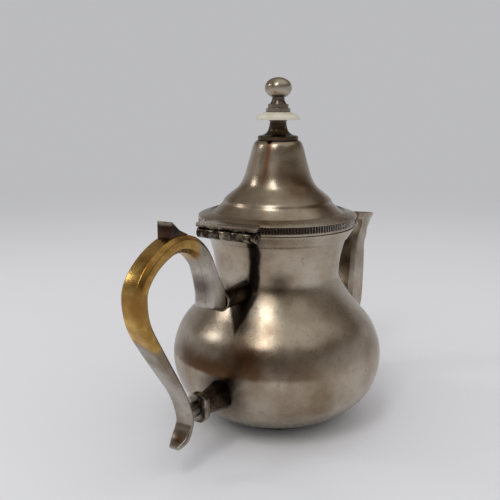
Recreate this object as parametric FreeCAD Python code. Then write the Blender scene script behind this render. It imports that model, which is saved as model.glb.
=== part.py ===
import FreeCAD, Part
import math
import os
from FreeCAD import Vector

# Sizes are in millimetres. The base stands on Z = 0, the spout points to +X and the handle to -X.

# Clearances
solder_gap = 0.05
pin_clearance = 0.05
swing_clearance = 0.35

# Pot body, a shell spun from sheet
sheet = 1.1
base_radius = 25.0
base_thickness = 1.2
base_flange = 4.0
base_chamfer = 0.4
belly_radius = 53.3
belly_height = 34.0
neck_radius = 31.3
neck_height = 79.0
rim_radius = 38.6
rim_height = 104.8
rim_lip = 4.2

# Band round the top of the neck
neck_band_height = 7.0
band_thickness = 0.5

# Fluted border round the rim, broken at the hinge
gadroon_radius = 39.7
gadroon_depth = 0.7
gadroon_pitch = 1.45
gadroon_height = 3.0
gadroon_crown = 0.55
gadroon_end_gap = 0.5

# Bell-shaped lid
lid_gap = 0.25
lid_sheet = 1.0
lid_radius = 39.6
brim_edge = 0.3
brim_height = 2.4
brim_inner_radius = 33.7
brim_step = 0.35
brim_step_draft = 0.1
bell_shoulder_radius = 26.4
bell_shoulder_height = 8.2
bell_waist_radius = 16.8
bell_waist_height = 19.0
crown_radius = 12.5
crown_drop = 3.3
crown_flat_radius = 9.2
lid_height = 37.25
steam_hole_radius = 1.15
steam_hole_turn = 8.0

# Collar under the lid
bezel_radius = 36.5
bezel_sheet = 0.9
bezel_depth = 4.5

# Finial, stacked on a stud
stud_radius = 1.5
finial_flange_radius = 10.0
finial_flange_height = 1.5
finial_flange_bevel = 0.6
finial_flange_rise = 0.4
finial_stem_radius = 4.0
finial_base_height = 9.8
finial_seat_radius = 4.7
finial_seat_height = 1.3
disc_radius = 10.65
disc_edge = 1.4
disc_height = 3.6
disc_top_radius = 6.4
knob_collar_radius = 6.0
knob_collar_height = 1.8
knob_step_radius = 5.05
knob_step_height = 2.0
knob_cove_radius = 4.15
knob_cove_height = 3.2
knob_neck_radius = 3.0
ball_radius = 6.65
ball_half_height = 5.1
stud_depth_in_knob = 8.5
washer_radius = 5.0
washer_thickness = 0.8
nut_across_flats = 5.5
nut_height = 2.4
stud_tail = 1.0

# Lid hinge
hinge_reach = 45.0
hinge_drop = 3.2
hinge_length = 32.0
knuckle_radius = 2.6
knuckle_count = 5
knuckle_gap = 0.25
pin_radius = 1.2
pin_head_radius = 1.9
pin_head_height = 0.7
tongue_thickness = 1.9
tongue_width = 5.4
ledge_height = 3.3
ledge_drop = 0.2
ledge_length = 24.6

# Handle sockets on the pot
upper_joint_height = 72.0
lower_joint_height = 27.0
upper_socket_radius = 4.2
upper_socket_foot_radius = 5.4
upper_ring_radius = 4.8
upper_ring_thickness = 1.9
lower_socket_height = 8.5
lower_socket_width = 7.0
lower_socket_foot_height = 16.0
lower_socket_foot_width = 12.5
lower_socket_edge = 0.25
lower_ring_height = 13.0
lower_ring_width = 9.6
lower_ring_corner = 3.4
lower_ring_thickness = 4.0
handle_stub_length = 7.0
handle_stub_radius = 3.3
joint_stud_radius = 1.6
joint_stud_length = 14.0

# Handle, a cast bar along one path
limb_reach = 59.4
limb_thickness = 14.4
handle_top = 104.4
handle_top_reach = 88.5
handle_top_thickness = 7.0
handle_reach = 110.5
handle_reach_height = 84.5
handle_grip_thickness = 7.4
handle_width = 10.4
band_reach = 79.7
band_height = 26.0
tail_thickness = 2.8
tail_width = 8.7
curl_reach = 87.8
curl_height = 14.6
curl_thickness = 1.9
curl_width = 5.2
handle_edge = 0.25
foot_slope = 20.0
thumb_length = 12.0
thumb_height = 6.8
thumb_width = 6.4
thumb_reach = 91.5

# Spout, a hollow horn with flat sides and bevelled edges
spout_sheet = 1.0
spout_edge = 0.14
spout_root_height = 26.0
spout_root_sink = 11.0
spout_root_depth = 27.0
spout_root_width = 22.0
spout_bend_reach = 84.3
spout_bend_height = 46.0
spout_bend_depth = 17.2
spout_bend_width = 13.2
spout_throat_reach = 90.2
spout_throat_height = 77.5
spout_throat_depth = 13.2
spout_throat_width = 10.8
collar_reach = 99.3
collar_height = 88.2
collar_length = 16.4
collar_width = 10.0
mouth_reach = 105.0
mouth_height = 92.0
mouth_length = 26.0
mouth_width = 11.0
mouth_slope = 8.0
lip_tip_width = 3.6
collar_tip_width = 7.2
strainer_hole_radius = 1.6
strainer_pitch = 5.4

# Heights and places worked out from the sizes above
flare_top = rim_height - rim_lip
band_bottom = flare_top - neck_band_height
lid_seat = rim_height + lid_gap
lid_top = lid_seat + lid_height
crown_under = lid_top - lid_sheet
disc_bottom = lid_top + finial_base_height
knob_bottom = disc_bottom + disc_height
hinge_height = rim_height - hinge_drop
stud_hole = stud_radius + pin_clearance
joint_stud_hole = joint_stud_radius + pin_clearance
ring_reach = limb_reach - limb_thickness / 2 - upper_ring_thickness
lower_ring_end = band_reach - tail_thickness / 2 - handle_stub_length
lower_ring_reach = lower_ring_end - lower_ring_thickness


def profile_point(radius, height):
    """Point of an outline drawn in the XZ plane."""
    return Vector(radius, 0, height)


def line(start, end):
    return Part.LineSegment(profile_point(*start), profile_point(*end)).toShape()


def arc(start, middle, end):
    return Part.Arc(profile_point(*start), profile_point(*middle), profile_point(*end)).toShape()


def spline(points):
    curve = Part.BSplineCurve()
    curve.interpolate([profile_point(*point) for point in points])
    return curve


def chain(points):
    """Straight edges through a list of outline points."""
    return [line(a, b) for a, b in zip(points, points[1:])]


def spun(edges):
    """Solid of revolution about Z from a closed outline."""
    face = Part.Face(Part.Wire(edges))
    return face.revolve(Vector(0, 0, 0), Vector(0, 0, 1), 360)


def hoop(inside, outside, bottom, top):
    """Flat-ended ring about Z."""
    corners = [(inside, bottom), (outside, bottom), (outside, top), (inside, top)]
    return spun(chain(corners + corners[:1]))


def parameter_at(curve, height):
    """Parameter of a steadily rising outline at a height, by bisection."""
    low, high = curve.FirstParameter, curve.LastParameter
    for _ in range(50):
        middle = (low + high) / 2
        if curve.value(middle).z < height:
            low = middle
        else:
            high = middle
    return low


def offset_spline(curve, distance, first, last, steps=18):
    """Spline at a distance outside a rising outline; a negative distance lies inside it."""
    points = []
    for i in range(steps + 1):
        place = first + (last - first) * i / steps
        here = curve.value(place)
        along = curve.tangent(place)[0]
        points.append((here.x + distance * along.z, here.z - distance * along.x))
    return spline(points)


def ends(curve):
    """First and last point of a curve as radius and height."""
    first, last = curve.value(curve.FirstParameter), curve.value(curve.LastParameter)
    return (first.x, first.z), (last.x, last.z)


def tube_y(radius, y_low, y_high, reach, height):
    """Cylinder along Y on the hinge side of the pot."""
    return Part.makeCylinder(radius, y_high - y_low, Vector(-reach, y_low, height), Vector(0, 1, 0))


def rod_x(radius, reach_low, reach_high, height):
    """Cylinder along X on the handle side of the pot."""
    return Part.makeCylinder(radius, reach_high - reach_low, Vector(-reach_high, 0, height), Vector(1, 0, 0))


def block(x_low, x_high, y_half, z_low, z_high):
    return Part.makeBox(x_high - x_low, 2 * y_half, z_high - z_low, Vector(x_low, -y_half, z_low))


def upright_plate(points, width):
    """Plate in the handle's plane: an outline of reach and height, given a width along Y."""
    corners = [Vector(-reach, -width / 2, height) for reach, height in points]
    face = Part.Face(Part.makePolygon(corners + corners[:1]))
    return face.extrude(Vector(0, width, 0))


def body_curve():
    """Outer outline of the shell, from the base to the top of the flare."""
    low, rise = belly_radius - base_radius, belly_height - base_thickness
    fall, drop = belly_radius - neck_radius, neck_height - belly_height
    flare, lift = rim_radius - neck_radius, flare_top - neck_height
    return spline([
        (base_radius, base_thickness),
        (base_radius + 0.46 * low, base_thickness + 0.18 * rise),
        (base_radius + 0.855 * low, base_thickness + 0.51 * rise),
        (belly_radius, belly_height),
        (neck_radius + 0.82 * fall, belly_height + 0.335 * drop),
        (neck_radius + 0.38 * fall, belly_height + 0.60 * drop),
        (neck_radius + 0.045 * fall, belly_height + 0.845 * drop),
        (neck_radius, neck_height),
        (neck_radius + 0.34 * flare, neck_height + 0.60 * lift),
        (rim_radius, flare_top),
    ])


def pot_core(curve):
    """The pot's outside as a full solid, which the pieces soldered to it are cut by."""
    base, flare = ends(curve)
    edges = [curve.toShape()]
    edges += chain([flare, (rim_radius, rim_height), (0, rim_height), (0, base_thickness), base])
    return spun(edges)


def strainer_holes():
    """Holes through the wall behind the spout's root, one ringed by six."""
    holes = []
    centres = [(0, 0)]
    for i in range(6):
        turn = math.radians(60 * i)
        centres.append((strainer_pitch * math.cos(turn), strainer_pitch * math.sin(turn)))
    for across, up in centres:
        start = Vector(belly_radius / 2, across, spout_root_height + up)
        holes.append(Part.makeCylinder(strainer_hole_radius, belly_radius, start, Vector(1, 0, 0)))
    return holes


def pot_body(curve):
    inner = offset_spline(curve, -sheet, curve.FirstParameter, curve.LastParameter)
    base, flare = ends(curve)
    inner_base, inner_flare = ends(inner)
    flange_radius = base_radius - base_flange
    edges = [curve.toShape(), inner.toShape()]
    edges += chain([flare, (rim_radius, rim_height), (rim_radius - sheet, rim_height), inner_flare])
    edges += chain([inner_base, (flange_radius, inner_base[1]), (flange_radius, base_thickness), base])
    shell = spun(Part.sortEdges(edges)[0])
    for hole in strainer_holes():
        shell = shell.cut(hole)
    return shell


def base_plate():
    edge = base_radius - base_chamfer
    return spun(chain([
        (0, 0), (edge, 0), (base_radius, base_chamfer), (base_radius, base_thickness), (0, base_thickness),
        (0, 0)]))


def neck_band(curve):
    first, last = parameter_at(curve, band_bottom), curve.LastParameter
    inside = offset_spline(curve, solder_gap, first, last)
    outside = offset_spline(curve, solder_gap + band_thickness, first, last)
    low_in, high_in = ends(inside)
    low_out, high_out = ends(outside)
    edges = [inside.toShape(), outside.toShape(), line(low_in, low_out), line(high_in, high_out)]
    return spun(Part.sortEdges(edges)[0])


def polar(radius, turn, height):
    return Vector(radius * math.cos(turn), radius * math.sin(turn), height)


def gadroon_border():
    """Ring of upright flutes with rounded ends, open where the hinge sits."""
    bottom, top = rim_height - gadroon_height, rim_height
    back = rim_radius + solder_gap
    groove = gadroon_radius - gadroon_depth
    half_gap = math.asin((ledge_length / 2 + gadroon_end_gap) / gadroon_radius)
    start, sweep = half_gap - math.pi, 2 * (math.pi - half_gap)
    count = round(sweep * gadroon_radius / gadroon_pitch)
    step = sweep / count
    edges = []
    for i in range(count):
        turn = start + i * step
        ridge, next_ridge = polar(gadroon_radius, turn, bottom), polar(gadroon_radius, turn + step, bottom)
        edges.append(Part.Arc(ridge, polar(groove, turn + step / 2, bottom), next_ridge).toShape())
    finish = start + sweep
    back_ends = polar(back, finish, bottom), polar(back, start, bottom)
    edges.append(Part.makeLine(polar(gadroon_radius, finish, bottom), back_ends[0]))
    edges.append(Part.Arc(back_ends[0], polar(back, 0, bottom), back_ends[1]).toShape())
    edges.append(Part.makeLine(back_ends[1], polar(gadroon_radius, start, bottom)))
    flutes = Part.Face(Part.Wire(edges)).extrude(Vector(0, 0, gadroon_height))
    inside, shoulder = back - sheet, gadroon_radius - gadroon_crown
    below, above = bottom - sheet, top + sheet
    round_edge = chain([(shoulder, above), (inside, above), (inside, below), (shoulder, below)])
    round_edge.append(arc((shoulder, below), (gadroon_radius, (below + above) / 2), (shoulder, above)))
    return flutes.common(spun(round_edge))


def bell_curve():
    """Outer outline of the lid's bell, from the groove inside the brim to the crown's flat."""
    groove = (brim_inner_radius - brim_step_draft, lid_seat + brim_height - brim_step)
    shoulder = (bell_shoulder_radius, lid_seat + bell_shoulder_height)
    waist = (bell_waist_radius, lid_seat + bell_waist_height)
    crown = (crown_radius, lid_top - crown_drop)
    flat = (crown_flat_radius, lid_top)
    return spline([
        groove,
        between(groove, shoulder, 0.27, 0.04),
        between(groove, shoulder, 0.80, 0.62),
        shoulder,
        between(shoulder, waist, 0.24, 0.20),
        between(shoulder, waist, 0.72, 0.57),
        waist,
        between(waist, crown, 0.55, 0.52),
        crown,
        between(crown, flat, 0.45, 0.76),
        flat,
    ])


def between(first, second, share_across, share_up):
    """Point at given shares of the way from one point to another."""
    return (first[0] + share_across * (second[0] - first[0]), first[1] + share_up * (second[1] - first[1]))


def lid_dome():
    bell = bell_curve()
    inner = offset_spline(bell, -lid_sheet, bell.FirstParameter, bell.LastParameter, 26)
    groove, flat = ends(bell)
    inner_groove, inner_flat = ends(inner)
    edge_top = (lid_radius, lid_seat + brim_edge)
    brim_end = (brim_inner_radius, lid_seat + brim_height)
    brim_middle = between(edge_top, brim_end, 0.36, 0.47)
    underside = bezel_radius - bezel_sheet
    edges = [bell.toShape(), inner.toShape(), arc(edge_top, brim_middle, brim_end)]
    edges += chain([brim_end, groove])
    edges += chain([flat, (stud_hole, lid_top), (stud_hole, crown_under), inner_flat])
    edges += chain([inner_groove, (underside, lid_seat), (lid_radius, lid_seat), edge_top])
    lid = spun(Part.sortEdges(edges)[0])
    turn = math.radians(180 + steam_hole_turn)
    radius, height = between(ends(bell)[1], (crown_radius, lid_top - crown_drop), 0.5, 0.2)
    start = polar(radius - 2 * lid_sheet, turn, height - 2 * lid_sheet)
    return lid.cut(Part.makeCylinder(steam_hole_radius, 4 * lid_sheet, start, polar(1, turn, 1)))


def lid_bezel():
    return hoop(bezel_radius - bezel_sheet, bezel_radius, lid_seat - bezel_depth, lid_seat)


def finial_base():
    flange_top = lid_top + finial_flange_height
    cove_start = (finial_flange_radius - finial_flange_bevel, flange_top + finial_flange_rise)
    cove_end = (finial_stem_radius, disc_bottom - finial_seat_height)
    cove_middle = between(cove_start, cove_end, 0.76, 0.32)
    bore_bottom = (stud_hole, lid_top)
    edges = chain([
        bore_bottom, (finial_flange_radius, lid_top), (finial_flange_radius, flange_top), cove_start])
    edges.append(arc(cove_start, cove_middle, cove_end))
    edges += chain([cove_end, (finial_seat_radius, disc_bottom), (stud_hole, disc_bottom), bore_bottom])
    return spun(edges)


def finial_disc():
    edge_top = (disc_radius, disc_bottom + disc_edge)
    top = (disc_top_radius, knob_bottom)
    bore = [(stud_hole, knob_bottom), (stud_hole, disc_bottom)]
    edges = chain(bore + [(disc_radius, disc_bottom), edge_top])
    edges.append(arc(edge_top, between(edge_top, top, 0.47, 0.57), top))
    edges += chain([top, bore[0]])
    return spun(edges)


def finial_knob():
    collar_top = knob_bottom + knob_collar_height
    step_top = collar_top + knob_step_height
    cove_top = step_top + knob_cove_height
    half_open = math.acos(knob_neck_radius / ball_radius)
    centre = cove_top + ball_half_height * math.sin(half_open)
    steps = 10
    ball = []
    for i in range(steps + 1):
        turn = -half_open + (math.pi / 2 + half_open) * i / steps
        ball.append((ball_radius * math.cos(turn), centre + ball_half_height * math.sin(turn)))
    ball[-1] = (0, centre + ball_half_height)
    bore_top = knob_bottom + stud_depth_in_knob
    cove_start = (knob_cove_radius, step_top)
    cove_end = (knob_neck_radius, cove_top)
    edges = chain([
        (stud_hole, knob_bottom), (knob_collar_radius, knob_bottom), (knob_collar_radius, collar_top),
        (knob_step_radius, collar_top), (knob_step_radius, step_top), cove_start])
    edges.append(arc(cove_start, between(cove_start, cove_end, 0.75, 0.5), cove_end))
    edges.append(spline(ball).toShape())
    edges += chain([ball[-1], (0, bore_top), (stud_hole, bore_top), (stud_hole, knob_bottom)])
    return spun(edges)


def finial_stud():
    bottom = crown_under - washer_thickness - nut_height - stud_tail
    top = knob_bottom + stud_depth_in_knob - solder_gap
    return Part.makeCylinder(stud_radius, top - bottom, Vector(0, 0, bottom))


def finial_washer():
    return hoop(stud_hole, washer_radius, crown_under - washer_thickness, crown_under)


def finial_nut():
    bottom = crown_under - washer_thickness - nut_height
    corner = nut_across_flats / 2 / math.cos(math.pi / 6)
    corners = [polar(corner, math.radians(60 * i), bottom) for i in range(6)]
    nut = Part.Face(Part.makePolygon(corners + corners[:1])).extrude(Vector(0, 0, nut_height))
    return nut.cut(Part.makeCylinder(stud_hole, nut_height, Vector(0, 0, bottom)))


def knuckle_spans():
    """Low and high Y of each hinge knuckle."""
    pitch = hinge_length / knuckle_count
    half = (pitch - knuckle_gap) / 2
    centres = [(i + 0.5) * pitch - hinge_length / 2 for i in range(knuckle_count)]
    return [(centre - half, centre + half) for centre in centres]


def pin_bore():
    return tube_y(pin_radius + pin_clearance, -hinge_length, hinge_length, hinge_reach, hinge_height)


def hinge_pot_leaf(core):
    """Every other knuckle, joined to a ledge between the round rim and the straight hinge."""
    ledge_face = -hinge_reach + knuckle_radius + swing_clearance
    ledge_top = hinge_height + knuckle_radius - ledge_drop
    ledge_bottom = ledge_top - ledge_height
    leaf = block(ledge_face, 0, ledge_length / 2, ledge_bottom, ledge_top).cut(core)
    leaf = leaf.common(block(-hinge_reach, -neck_radius, hinge_length, 0, rim_height))
    for low, high in knuckle_spans()[::2]:
        leaf = leaf.fuse(tube_y(knuckle_radius, low, high, hinge_reach, hinge_height))
        web_height = hinge_height + knuckle_radius / 2 - ledge_bottom
        web_length = ledge_face + hinge_reach + solder_gap
        corner = Vector(-hinge_reach, low, ledge_bottom)
        leaf = leaf.fuse(Part.makeBox(web_length, high - low, web_height, corner))
    return leaf.cut(pin_bore()).removeSplitter()


def hinge_lid_leaf():
    """The other knuckles, hung under a straight strip with a tongue that meets the lid's edge."""
    bottom = hinge_height + knuckle_radius + swing_clearance
    top = bottom + tongue_thickness
    strip_end = -hinge_reach + tongue_width / 2
    tongue = block(strip_end, -neck_radius, ledge_length / 2, bottom, top)
    tongue = tongue.cut(Part.makeCylinder(lid_radius + solder_gap, 2 * rim_height))
    leaf = block(-hinge_reach - tongue_width / 2, strip_end, hinge_length / 2, bottom, top).fuse(tongue)
    for low, high in knuckle_spans()[1::2]:
        leaf = leaf.fuse(tube_y(knuckle_radius, low, high, hinge_reach, hinge_height))
        corner = Vector(-hinge_reach - knuckle_radius / 2, low, hinge_height)
        leaf = leaf.fuse(Part.makeBox(knuckle_radius, high - low, bottom - hinge_height, corner))
    return leaf.cut(pin_bore()).removeSplitter()


def hinge_pin():
    half = hinge_length / 2
    pin = tube_y(pin_radius, -half, half, hinge_reach, hinge_height)
    for side in (-1, 1):
        end = Vector(-hinge_reach, side * half, hinge_height)
        pin = pin.fuse(Part.makeCone(pin_head_radius, pin_radius, pin_head_height, end, Vector(0, side, 0)))
    return pin.removeSplitter()


def blend(first, second, share):
    return first + share * (second - first)


def handle_stations():
    """Path points of the handle as reach and height, each with the bar's thickness and width there."""
    foot = (limb_reach, upper_joint_height)
    top = (handle_top_reach, handle_top)
    outer = (handle_reach, handle_reach_height)
    low = (band_reach, band_height)
    tip = (curl_reach, curl_height)
    arm, arch, grip, tail = limb_thickness, handle_top_thickness, handle_grip_thickness, tail_thickness
    return [
        (between(foot, top, 0.0, -0.12), arm, handle_width),
        (between(foot, top, 0.0, 0.13), arm, handle_width),
        (between(foot, top, 0.10, 0.37), blend(arm, arch, 0.45), handle_width),
        (between(foot, top, 0.27, 0.71), blend(arm, arch, 0.75), handle_width),
        (between(foot, top, 0.588, 0.944), blend(arm, arch, 0.88), handle_width),
        (top, arch, handle_width),
        (between(top, outer, 0.568, 0.25), arch, handle_width),
        (between(top, outer, 0.927, 0.62), grip, handle_width),
        (outer, grip, handle_width),
        (between(outer, low, 0.09, 0.186), blend(grip, tail, 0.28), handle_width),
        (between(outer, low, 0.435, 0.47), blend(grip, tail, 0.75), handle_width),
        (between(outer, low, 0.84, 0.785), tail, tail_width),
        (low, tail, tail_width),
        (between(low, tip, 0.12, 0.42), tail, tail_width),
        (between(low, tip, 0.45, 0.76), blend(tail, curl_thickness, 0.2), tail_width),
        (tip, curl_thickness, curl_width),
    ]


def bevelled(half, side, edge):
    """Outline of a rectangle with its corners cut off by a share of its lesser side."""
    bevel = 2 * edge * min(half, side)
    return [
        (half, side - bevel), (half - bevel, side), (bevel - half, side), (-half, side - bevel),
        (-half, bevel - side), (bevel - half, -side), (half - bevel, -side), (half, bevel - side)]


def polygon(corners):
    return Part.makePolygon(corners + corners[:1])


def section(centre, along, thickness, width, edge):
    """Flat-sided section with bevelled edges, square to a path in the XZ plane."""
    normal = Vector(along.z, 0, -along.x)
    outline = bevelled(thickness / 2, width / 2, edge)
    return polygon([centre + normal * n + Vector(0, y, 0) for n, y in outline])


def handle():
    stations = handle_stations()
    path = Part.BSplineCurve()
    path.interpolate([Vector(-reach, 0, height) for (reach, height), _, _ in stations])
    sections = []
    for place, (_, thickness, width) in zip(path.getKnots(), stations):
        sections.append(section(path.value(place), path.tangent(place)[0], thickness, width, handle_edge))
    bar = Part.makeLoft(sections, True, False)
    foot = Vector(-limb_reach + limb_thickness / 2, 0, upper_joint_height - upper_ring_radius)
    below = Part.makeBox(4 * limb_thickness, 4 * handle_width, limb_thickness)
    below.translate(Vector(-3 * limb_thickness, -2 * handle_width, -limb_thickness))
    below.rotate(Vector(0, 0, 0), Vector(0, 1, 0), foot_slope)
    below.translate(foot)
    bar = bar.cut(below).fuse(rod_x(handle_stub_radius, lower_ring_end, band_reach, lower_joint_height))
    seat = limb_reach - limb_thickness / 2
    seat_bottom, seat_top = upper_joint_height - limb_thickness, upper_joint_height + upper_ring_radius
    bar = bar.cut(block(-seat, 0, handle_width, seat_bottom, seat_top))
    upper_end = seat + joint_stud_length / 2
    lower_end = lower_ring_end + joint_stud_length / 2
    bar = bar.cut(rod_x(joint_stud_hole, 0, upper_end, upper_joint_height))
    return bar.cut(rod_x(joint_stud_hole, 0, lower_end, lower_joint_height)).removeSplitter()


def thumb_rest(bar):
    back = (thumb_reach, handle_top)
    tip = (thumb_reach, handle_top + handle_top_thickness / 2 + thumb_height)
    front = (thumb_reach - thumb_length, handle_top)
    nose = (front[0], handle_top + handle_top_thickness / 2)
    crest = between(nose, tip, 0.45, 0.36)
    shoulder = between(nose, tip, 0.84, 0.94)
    return upright_plate([back, tip, shoulder, crest, nose, front], thumb_width).cut(bar)


def upper_handle_socket(core):
    """Short round tube that flares onto the neck."""
    tube = Part.makeCone(
        upper_socket_radius, upper_socket_foot_radius, ring_reach - neck_radius / 2,
        Vector(-ring_reach, 0, upper_joint_height), Vector(1, 0, 0))
    tube = tube.cut(core)
    stud_start = ring_reach - joint_stud_length / 2
    return tube.cut(rod_x(joint_stud_hole, stud_start, ring_reach + 1, upper_joint_height))


def upper_handle_ring():
    ring = rod_x(upper_ring_radius, ring_reach, ring_reach + upper_ring_thickness, upper_joint_height)
    edges = [edge for edge in ring.Edges if abs(edge.Length - 2 * math.pi * upper_ring_radius) < 0.1]
    ring = ring.makeFillet(upper_ring_thickness / 4, edges)
    return ring.cut(rod_x(joint_stud_hole, 0, limb_reach, upper_joint_height))


def upper_handle_stud():
    start = ring_reach - joint_stud_length / 2
    end = limb_reach - limb_thickness / 2 + joint_stud_length / 2
    return rod_x(joint_stud_radius, start + solder_gap, end - solder_gap, upper_joint_height)


def upright_section(reach, tall, wide):
    """Bevelled section of the lower socket, square to X."""
    outline = bevelled(tall / 2, wide / 2, lower_socket_edge)
    return polygon([Vector(-reach, y, lower_joint_height + z) for z, y in outline])


def lower_handle_socket(core):
    """Bevelled stub that widens onto the belly."""
    foot_reach = core_radius_at(core, lower_joint_height) - lower_socket_foot_height / 2
    stub = Part.makeLoft([
        upright_section(lower_ring_reach, lower_socket_height, lower_socket_width),
        upright_section(foot_reach, lower_socket_foot_height, lower_socket_foot_width)], True, True)
    stub = stub.cut(core)
    stud_start = lower_ring_reach - joint_stud_length / 2
    return stub.cut(rod_x(joint_stud_hole, stud_start, lower_ring_end, lower_joint_height))


def core_radius_at(core, height):
    """Radius of the pot's outside at a height."""
    ray = Part.makeLine(Vector(0, 0, height), Vector(2 * belly_radius, 0, height))
    return core.common(ray).BoundBox.XMax


def lower_handle_ring():
    """Oval plate between the lower socket and the handle's stub."""
    bottom = lower_joint_height - lower_ring_height / 2
    side = lower_ring_width / 2
    plate = block(-lower_ring_end, -lower_ring_reach, side, bottom, bottom + lower_ring_height)
    edges = [edge for edge in plate.Edges if abs(edge.tangentAt(edge.FirstParameter).x) > 0.9]
    plate = plate.makeFillet(lower_ring_corner, edges)
    return plate.cut(rod_x(joint_stud_hole, 0, band_reach, lower_joint_height))


def lower_handle_stud():
    start = lower_ring_reach - joint_stud_length / 2
    end = lower_ring_end + joint_stud_length / 2
    return rod_x(joint_stud_radius, start + solder_gap, end - solder_gap, lower_joint_height)


def spout_stations():
    """Path points of the spout as reach and height, each with the depth and width of the section there."""
    root = (belly_radius - spout_root_sink, spout_root_height)
    bend = (spout_bend_reach, spout_bend_height)
    throat = (spout_throat_reach, spout_throat_height)
    collar = (collar_reach, collar_height)
    root_size = (spout_root_depth, spout_root_width)
    bend_size = (spout_bend_depth, spout_bend_width)
    throat_size = (spout_throat_depth, spout_throat_width)
    return [
        (root, root_size),
        (between(root, bend, 0.20, 0.01), between(root_size, bend_size, 0.14, 0.18)),
        (between(root, bend, 0.41, 0.07), between(root_size, bend_size, 0.31, 0.36)),
        (between(root, bend, 0.62, 0.22), between(root_size, bend_size, 0.52, 0.55)),
        (between(root, bend, 0.81, 0.47), between(root_size, bend_size, 0.74, 0.74)),
        (between(root, bend, 0.94, 0.75), between(root_size, bend_size, 0.90, 0.90)),
        (bend, bend_size),
        (between(bend, throat, 0.45, 0.41), between(bend_size, throat_size, 0.26, 0.50)),
        (between(bend, throat, 0.66, 0.70), between(bend_size, throat_size, 0.50, 0.75)),
        (throat, throat_size),
        (between(throat, collar, 0.42, 0.48), (0.9 * spout_throat_depth, spout_throat_width)),
    ]


def level_section(reach, height, length, width, tip_width, inset):
    """Long bevelled section across the spout's top, drawn to a lip at the front and sloping down to it."""
    back, front = inset - length / 2, length / 2 - inset
    side, tip = width / 2 - inset, max(tip_width / 2 - inset / 2, inset / 2)
    bevel = 2 * spout_edge * side
    outline = [
        (front, tip), (front - 0.45 * length, side), (back + bevel, side), (back, side - bevel),
        (back, bevel - side), (back + bevel, -side), (front - 0.45 * length, -side), (front, -tip)]
    slope = math.tan(math.radians(mouth_slope))
    return polygon([Vector(reach + x, y, height - slope * x) for x, y in outline])


def spout_horn(inset):
    """Solid horn through the spout's sections and its flared lip, drawn in from the outside by an inset."""
    stations = spout_stations()
    path = Part.BSplineCurve()
    path.interpolate([Vector(reach, 0, height) for (reach, height), _ in stations])
    sections = []
    for place, (_, (depth, width)) in zip(path.getKnots(), stations):
        size = (depth - 2 * inset, width - 2 * inset)
        sections.append(section(path.value(place), path.tangent(place)[0], *size, spout_edge))
    collar = (collar_reach, collar_height, collar_length, collar_width, collar_tip_width)
    bore_rise = inset / 10
    mouth = (mouth_reach, mouth_height + bore_rise, mouth_length, mouth_width, lip_tip_width)
    for share in (0, 0.5, 1):
        sizes = [blend(low, high, share) for low, high in zip(collar, mouth)]
        sections.append(level_section(*sizes, inset))
    return Part.makeLoft(sections, True, False)


def spout(core):
    return spout_horn(0).cut(core).cut(spout_horn(spout_sheet))


def build():
    curve = body_curve()
    core = pot_core(curve)
    bar = handle()
    return {
        "pot_body": pot_body(curve),
        "base_plate": base_plate(),
        "neck_band": neck_band(curve),
        "gadroon_border": gadroon_border(),
        "spout": spout(core),
        "handle": bar,
        "thumb_rest": thumb_rest(bar),
        "upper_handle_socket": upper_handle_socket(core),
        "upper_handle_ring": upper_handle_ring(),
        "upper_handle_stud": upper_handle_stud(),
        "lower_handle_socket": lower_handle_socket(core),
        "lower_handle_ring": lower_handle_ring(),
        "lower_handle_stud": lower_handle_stud(),
        "hinge_pot_leaf": hinge_pot_leaf(core),
        "hinge_lid_leaf": hinge_lid_leaf(),
        "hinge_pin": hinge_pin(),
        "lid_dome": lid_dome(),
        "lid_bezel": lid_bezel(),
        "finial_base": finial_base(),
        "finial_disc": finial_disc(),
        "finial_knob": finial_knob(),
        "finial_stud": finial_stud(),
        "finial_washer": finial_washer(),
        "finial_nut": finial_nut(),
    }


os.makedirs("parts", exist_ok=True)
for node, shape in build().items():
    shape.exportStep("parts/" + node + ".step")
    print(node, len(shape.Solids), shape.isValid(), round(shape.Volume, 1))
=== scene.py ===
import math
import bmesh
import bpy
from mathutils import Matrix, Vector


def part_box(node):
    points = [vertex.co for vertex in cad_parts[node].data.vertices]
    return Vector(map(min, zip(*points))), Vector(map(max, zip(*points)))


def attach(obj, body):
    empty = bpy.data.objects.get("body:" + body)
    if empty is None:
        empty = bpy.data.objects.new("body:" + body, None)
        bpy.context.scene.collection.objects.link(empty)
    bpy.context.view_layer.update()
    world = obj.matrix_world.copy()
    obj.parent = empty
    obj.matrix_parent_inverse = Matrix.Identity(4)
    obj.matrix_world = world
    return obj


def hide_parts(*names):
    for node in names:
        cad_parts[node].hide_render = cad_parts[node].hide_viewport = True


# The pot in metres: +Z up, spout to +X, handle and lid hinge to -X.
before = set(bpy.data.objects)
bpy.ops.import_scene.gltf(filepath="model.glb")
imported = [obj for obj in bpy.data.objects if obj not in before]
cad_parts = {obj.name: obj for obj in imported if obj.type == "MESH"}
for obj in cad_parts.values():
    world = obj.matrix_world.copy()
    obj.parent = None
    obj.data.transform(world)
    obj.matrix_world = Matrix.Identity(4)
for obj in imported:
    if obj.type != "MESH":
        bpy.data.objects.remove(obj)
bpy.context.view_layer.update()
MM = 0.001

# Sizes taken from the frame
base_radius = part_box("base_plate")[1][0]
base_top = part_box("base_plate")[1][2]
belly_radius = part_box("pot_body")[1][0]
rim_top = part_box("pot_body")[1][2]
lid_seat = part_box("lid_dome")[0][2]
lid_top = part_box("lid_dome")[1][2]
lid_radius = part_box("lid_dome")[1][0]
flange_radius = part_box("finial_base")[1][0]
disc_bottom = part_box("finial_disc")[0][2]
disc_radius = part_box("finial_disc")[1][0]
knob_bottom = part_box("finial_knob")[0][2]
knob_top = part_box("finial_knob")[1][2]
ball_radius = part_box("finial_knob")[1][0]
thumb_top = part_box("thumb_rest")[1][2]
flute_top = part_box("gadroon_border")[1][0]

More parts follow.
